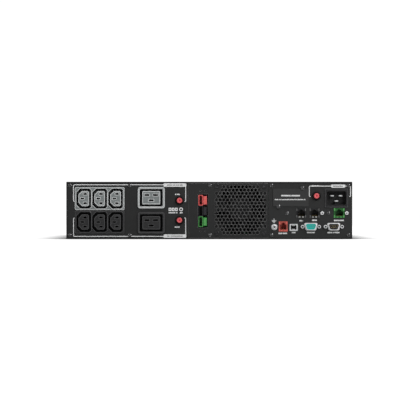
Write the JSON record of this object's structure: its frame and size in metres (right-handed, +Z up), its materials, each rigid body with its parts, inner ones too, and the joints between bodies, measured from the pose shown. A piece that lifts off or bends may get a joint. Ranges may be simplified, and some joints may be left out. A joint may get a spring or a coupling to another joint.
{
  "type": "rackmount ups",
  "caption": "Low steel rack case with power outlets, input, fan grille and ports on its rear panel and a sliding battery module behind a front door.",
  "frame": {"origin": "middle of the footprint, on the surface that the case stands on", "axes": "+X to the right when looking at the rear panel, +Y from the rear panel to the front bezel, +Z up"},
  "size_m": [0.433, 0.61, 0.0865],
  "materials": {
    "case_coat": "fine textured black powder coat",
    "panel_coat": "fine textured charcoal powder coat",
    "zinc_sheet": "zinc plated sheet",
    "black_screw": "black zinc plated screws",
    "bright_metal": "nickel plated",
    "brass_contact": "tinned brass",
    "grey_plastic": "moulded light grey plastic",
    "black_plastic": "moulded black plastic",
    "fan_plastic": "moulded deep black glass-filled plastic",
    "bezel_plastic": "satin black moulded bezel",
    "red_plastic": "moulded red plastic",
    "epo_plastic": "moulded dull red plastic",
    "green_plastic": "moulded green plastic",
    "cyan_plastic": "moulded cyan plastic",
    "lens_glass": "smoked window",
    "circuit_board": "solder mask",
    "heat_sink": "extruded aluminium",
    "winding": "enamelled copper wire",
    "core_steel": "laminated steel",
    "capacitor_sleeve": "shrink sleeve",
    "battery_case": "moulded battery case",
    "lead_sleeve": "cable insulation",
    "key_plastic": "moulded silver-grey keys"
  },
  "bodies": {
    "case": {"chassis_tray": "case_coat", "top_cover": "case_coat", "outlet_panel": "panel_coat", "fan_panel": "panel_coat", "comm_panel": "panel_coat", "bay_wall": "zinc_sheet", "front_bezel": "bezel_plastic", "display_lens": "lens_glass", "display_module": "circuit_board", "panel_screws": "black_screw", "cover_screws": "black_screw", "c13_block_grey": "grey_plastic", "c13_block_black": "black_plastic", "c19_outlet_grey": "grey_plastic", "c19_outlet_black": "black_plastic", "outlet_contacts": "brass_contact", "inlet_socket": "black_plastic", "inlet_pins": "bright_metal", "breaker_bodies": "black_plastic", "breaker_nuts": "fan_plastic", "dc_housing_red": "red_plastic", "dc_housing_black": "black_plastic", "dc_housing_green": "green_plastic", "dc_contacts": "bright_metal", "fan_frame": "fan_plastic", "fan_screws": "black_screw", "network_jacks": "black_plastic", "contact_jack": "green_plastic", "epo_jack": "epo_plastic", "usb_port": "bright_metal", "serial_shells": "bright_metal", "serial_insert_cyan": "cyan_plastic", "serial_insert_black": "black_plastic", "jackscrews": "bright_metal", "ground_screw": "bright_metal", "slot_cover": "panel_coat", "slot_screws": "black_screw", "main_board": "circuit_board", "comm_board": "circuit_board", "heat_sinks": "heat_sink", "power_transistors": "black_plastic", "capacitors": "capacitor_sleeve", "chokes": "winding", "transformer": "core_steel", "relays": "black_plastic", "bay_socket": "black_plastic"},
    "upper_breaker_button": {"reset_button_upper": "red_plastic"},
    "lower_breaker_button": {"reset_button_lower": "red_plastic"},
    "input_breaker_button": {"reset_button_input": "red_plastic"},
    "fan_wheel": {"fan_rotor": "fan_plastic"},
    "battery_module": {"battery_tray": "zinc_sheet", "batteries": "battery_case", "battery_terminals": "brass_contact", "battery_leads": "lead_sleeve", "battery_lid": "zinc_sheet", "battery_plug": "red_plastic"},
    "front_door": {"battery_door": "bezel_plastic"},
    "power_key": {"power_button": "key_plastic"},
    "scroll_key": {"scroll_key": "key_plastic"},
    "enter_key": {"enter_key": "key_plastic"}
  },
  "joints": [
    {"name": "upper_breaker_trip", "type": "slide", "parent": "case", "child": "upper_breaker_button", "axis": [0, -1, 0], "range_m": [0, 0.0035]},
    {"name": "lower_breaker_trip", "type": "slide", "parent": "case", "child": "lower_breaker_button", "axis": [0, -1, 0], "range_m": [0, 0.0035]},
    {"name": "input_breaker_trip", "type": "slide", "parent": "case", "child": "input_breaker_button", "axis": [0, -1, 0], "range_m": [0, 0.0035]},
    {"name": "fan_spin", "type": "hinge", "parent": "case", "child": "fan_wheel", "pos_m": [0.0475, -0.2843, 0.044], "axis": [0, -1, 0], "continuous": true},
    {"name": "battery_module_slide", "type": "slide", "parent": "case", "child": "battery_module", "axis": [0, 1, 0], "range_m": [0, 0.3]},
    {"name": "front_door_pull", "type": "slide", "parent": "battery_module", "child": "front_door", "axis": [0, 1, 0], "range_m": [0, 0.06]},
    {"name": "power_key_press", "type": "slide", "parent": "case", "child": "power_key", "axis": [0, -1, 0], "range_m": [0, 0.0015], "stiffness_N_per_m": 250},
    {"name": "scroll_key_press", "type": "slide", "parent": "case", "child": "scroll_key", "axis": [0, -1, 0], "range_m": [0, 0.0015], "stiffness_N_per_m": 250},
    {"name": "enter_key_press", "type": "slide", "parent": "case", "child": "enter_key", "axis": [0, -1, 0], "range_m": [0, 0.0015], "stiffness_N_per_m": 250}
  ]
}
